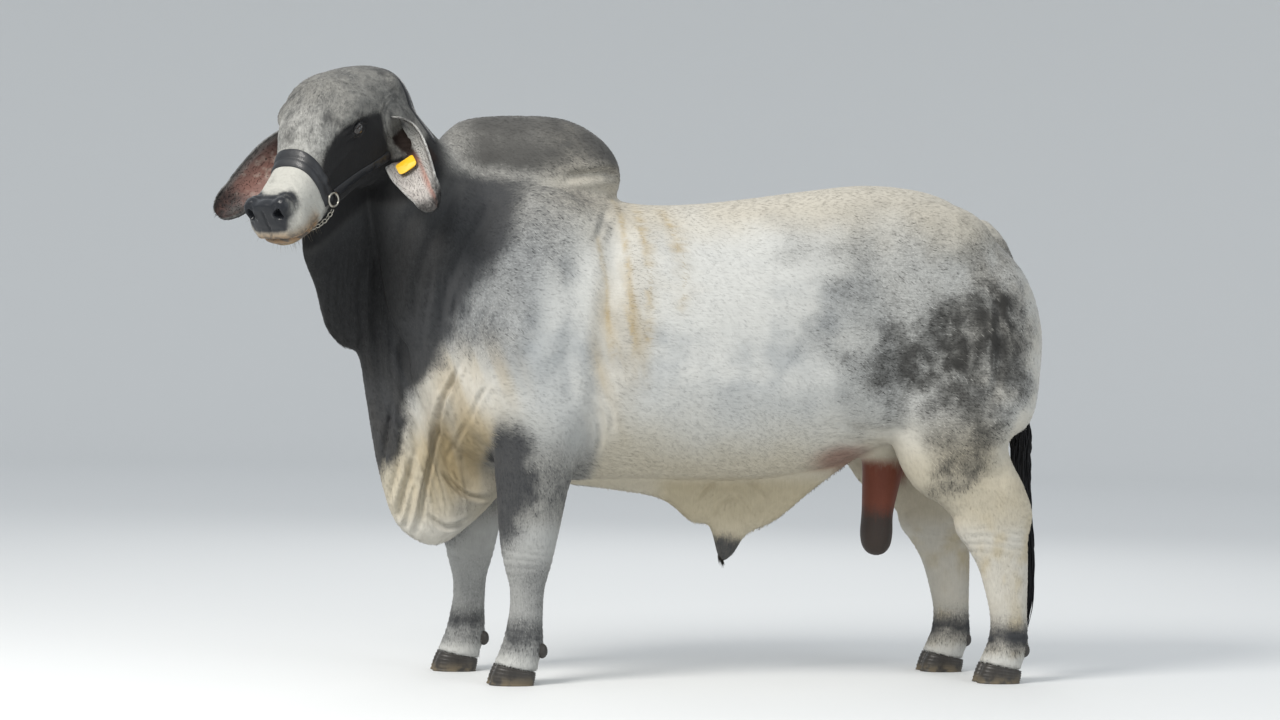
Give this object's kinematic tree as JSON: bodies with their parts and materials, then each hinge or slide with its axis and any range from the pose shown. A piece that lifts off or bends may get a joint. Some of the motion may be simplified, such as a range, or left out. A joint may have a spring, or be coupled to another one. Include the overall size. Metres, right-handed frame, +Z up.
{
  "type": "brahman bull",
  "caption": "Life-size still model of a standing humped bull with drooping ears, a pendulous dewlap and sheath, a leather halter and an ear tag.",
  "frame": {"origin": "middle of the base of the whole model's box, on the floor", "axes": "the bull faces -X, its left side is -Y, +Z is up"},
  "size_m": [2.5336, 0.819, 1.7872],
  "materials": {
    "hide": "short flat coat, pale grey-white with charcoal neck, hump and thigh patch",
    "dark_hide": "short flat charcoal coat",
    "bare_skin": "bare warm brown skin with a dark end",
    "hair": "long coarse black hair",
    "hoof": "dark hoof horn, satin",
    "eye": "wet dark brown eye",
    "halter_leather": "black worn leather",
    "halter_steel": "dull bright steel",
    "tag": "yellow flexible plastic, bare"
  },
  "bodies": {
    "root": {"cheek_strap_left": "halter_leather", "cheek_strap_right": "halter_leather", "chin_chain": "halter_steel", "crown_strap": "halter_leather", "dewclaw_fore_left_inner": "hoof", "dewclaw_fore_left_outer": "hoof", "dewclaw_fore_right_inner": "hoof", "dewclaw_fore_right_outer": "hoof", "dewclaw_hind_left_inner": "hoof", "dewclaw_hind_left_outer": "hoof", "dewclaw_hind_right_inner": "hoof", "dewclaw_hind_right_outer": "hoof", "dewlap": "dark_hide", "ear_left": "hide", "ear_right": "hide", "ear_tag": "tag", "eye_left": "eye", "eye_right": "eye", "foreleg_left": "hide", "foreleg_right": "hide", "halter_ring_left": "halter_steel", "halter_ring_right": "halter_steel", "head": "hide", "hindleg_left": "hide", "hindleg_right": "hide", "hoof_fore_left_inner": "hoof", "hoof_fore_left_outer": "hoof", "hoof_fore_right_inner": "hoof", "hoof_fore_right_outer": "hoof", "hoof_hind_left_inner": "hoof", "hoof_hind_left_outer": "hoof", "hoof_hind_right_inner": "hoof", "hoof_hind_right_outer": "hoof", "hump": "dark_hide", "neck": "dark_hide", "noseband": "halter_leather", "scrotum": "bare_skin", "sheath": "hide", "tail": "dark_hide", "tail_switch": "hair", "torso_front": "hide", "torso_rear": "hide"}
  },
  "joints": []
}
